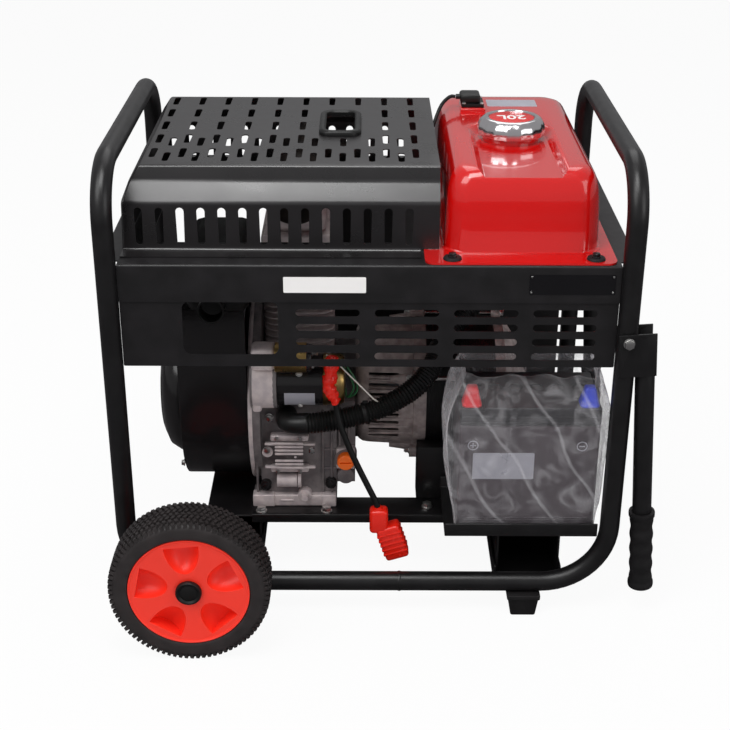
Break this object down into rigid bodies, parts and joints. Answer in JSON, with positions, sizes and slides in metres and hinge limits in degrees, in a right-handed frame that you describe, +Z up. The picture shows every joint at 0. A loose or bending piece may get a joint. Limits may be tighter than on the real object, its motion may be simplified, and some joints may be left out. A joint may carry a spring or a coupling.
{
  "type": "engine driven welder",
  "caption": "Open-frame diesel welding generator with tubular frame, two wheels, tow handles, tank, battery, slotted heat shield and rear control panel.",
  "frame": {"origin": "centre of the machine's bounding box at ground level, under the wheels and feet", "axes": "+X along the machine, from the wheel end to the tow-handle end; +Y from the battery side to the control side; +Z up"},
  "size_m": [0.7755, 0.7526, 0.6781],
  "materials": {
    "satin_black_steel": "satin powder coat",
    "deck_black": "satin",
    "shield_grey": "satin heat coat",
    "gloss_black_steel": "gloss",
    "tank_red": "gloss enamel",
    "chrome_cap": "polished",
    "black_plastic": "matt",
    "black_rubber": "matt",
    "cable_black": "satin",
    "tyre_black": "matt",
    "wheel_red": "satin",
    "zinc_steel": "zinc plated",
    "battery_grey": "matt",
    "battery_black": "matt",
    "cap_red": "soft",
    "cap_blue": "soft",
    "boot_red": "soft vinyl",
    "clear_film": "clear film",
    "cast_aluminium": "cast",
    "heat_black": "matt",
    "starter_black": "gloss",
    "orange_plastic": "gloss",
    "stator_black": "painted",
    "machined_steel": "machined",
    "brass": "satin"
  },
  "bodies": {
    "machine": {"frame_left_hoop": "satin_black_steel", "frame_right_hoop": "satin_black_steel", "cross_channel_left": "satin_black_steel", "cross_channel_right": "satin_black_steel", "bed_riser_left": "satin_black_steel", "bed_riser_right": "satin_black_steel", "bed_rail_front": "satin_black_steel", "bed_rail_rear": "satin_black_steel", "axle_bracket_front": "satin_black_steel", "axle_bracket_rear": "satin_black_steel", "battery_tray": "satin_black_steel", "deck": "deck_black", "side_panel_front": "deck_black", "control_panel": "deck_black", "heat_shield": "shield_grey", "blower_housing": "gloss_black_steel", "fan_cover": "gloss_black_steel", "fuel_tank": "tank_red", "fuel_sender": "black_plastic", "air_cleaner": "black_plastic", "stub_axle_front": "black_plastic", "stub_axle_rear": "black_plastic", "foot_front": "black_rubber", "foot_rear": "black_rubber", "shield_grommet": "black_rubber", "sender_cable": "cable_black", "battery_lead": "cable_black", "wiring_conduit": "cable_black", "handle_bolt_front": "zinc_steel", "handle_bolt_rear": "zinc_steel", "battery_case": "battery_grey", "battery_lid": "battery_black", "red_terminal_cap": "cap_red", "blue_terminal_cap": "cap_blue", "lead_boot": "boot_red", "lead_clamp": "boot_red", "battery_bag": "clear_film", "crankcase": "cast_aluminium", "side_cover": "cast_aluminium", "cylinder_and_head": "cast_aluminium", "alternator_adapter": "cast_aluminium", "alternator_end_cover": "cast_aluminium", "muffler": "heat_black", "starter_motor": "starter_black", "alternator_stator": "stator_black", "weld_terminal_positive": "brass", "weld_terminal_negative": "brass"},
    "wheel_front": {"tyre_front": "tyre_black", "wheel_rim_front": "wheel_red"},
    "wheel_rear": {"tyre_rear": "tyre_black", "wheel_rim_rear": "wheel_red"},
    "handle_front": {"tow_handle_front": "satin_black_steel", "handle_grip_front": "black_rubber"},
    "handle_rear": {"tow_handle_rear": "satin_black_steel", "handle_grip_rear": "black_rubber"},
    "fuel_cap": {"fuel_cap": "chrome_cap"},
    "oil_plug": {"oil_plug": "orange_plastic"},
    "crankshaft": {"crankshaft_rotor": "machined_steel"},
    "current_knob": {"current_knob": "black_plastic"},
    "key_switch": {"key_switch": "zinc_steel"}
  },
  "joints": [
    {"name": "wheel_front_spin", "type": "hinge", "parent": "machine", "child": "wheel_front", "pos_m": [-0.27184, -0.344, 0.111], "axis": [0, 1, 0], "continuous": true},
    {"name": "wheel_rear_spin", "type": "hinge", "parent": "machine", "child": "wheel_rear", "pos_m": [-0.27184, 0.344, 0.111], "axis": [0, 1, 0], "continuous": true},
    {"name": "handle_front_swing", "type": "hinge", "parent": "machine", "child": "handle_front", "pos_m": [0.31736, -0.24535, 0.4346], "axis": [0, -1, 0], "range_deg": [0, 86]},
    {"name": "handle_rear_swing", "type": "hinge", "parent": "machine", "child": "handle_rear", "pos_m": [0.31736, 0.24535, 0.4346], "axis": [0, -1, 0], "range_deg": [0, 86]},
    {"name": "fuel_cap_turn", "type": "hinge", "parent": "machine", "child": "fuel_cap", "pos_m": [0.17326, -0.012, 0.655], "axis": [0, 0, 1], "range_deg": [0, 90]},
    {"name": "oil_plug_turn", "type": "hinge", "parent": "machine", "child": "oil_plug", "pos_m": [-0.06124, -0.131, 0.1801], "axis": [0, -1, 0], "range_deg": [0, 180]},
    {"name": "crankshaft_spin", "type": "hinge", "parent": "machine", "child": "crankshaft", "pos_m": [-0.02824, 0, 0.25], "axis": [1, 0, 0], "continuous": true},
    {"name": "current_knob_turn", "type": "hinge", "parent": "machine", "child": "current_knob", "pos_m": [0.01176, 0.2442, 0.41], "axis": [0, -1, 0], "range_deg": [0, 270]},
    {"name": "key_turn", "type": "hinge", "parent": "machine", "child": "key_switch", "pos_m": [-0.08824, 0.2442, 0.43], "axis": [0, -1, 0], "range_deg": [0, 80]}
  ]
}
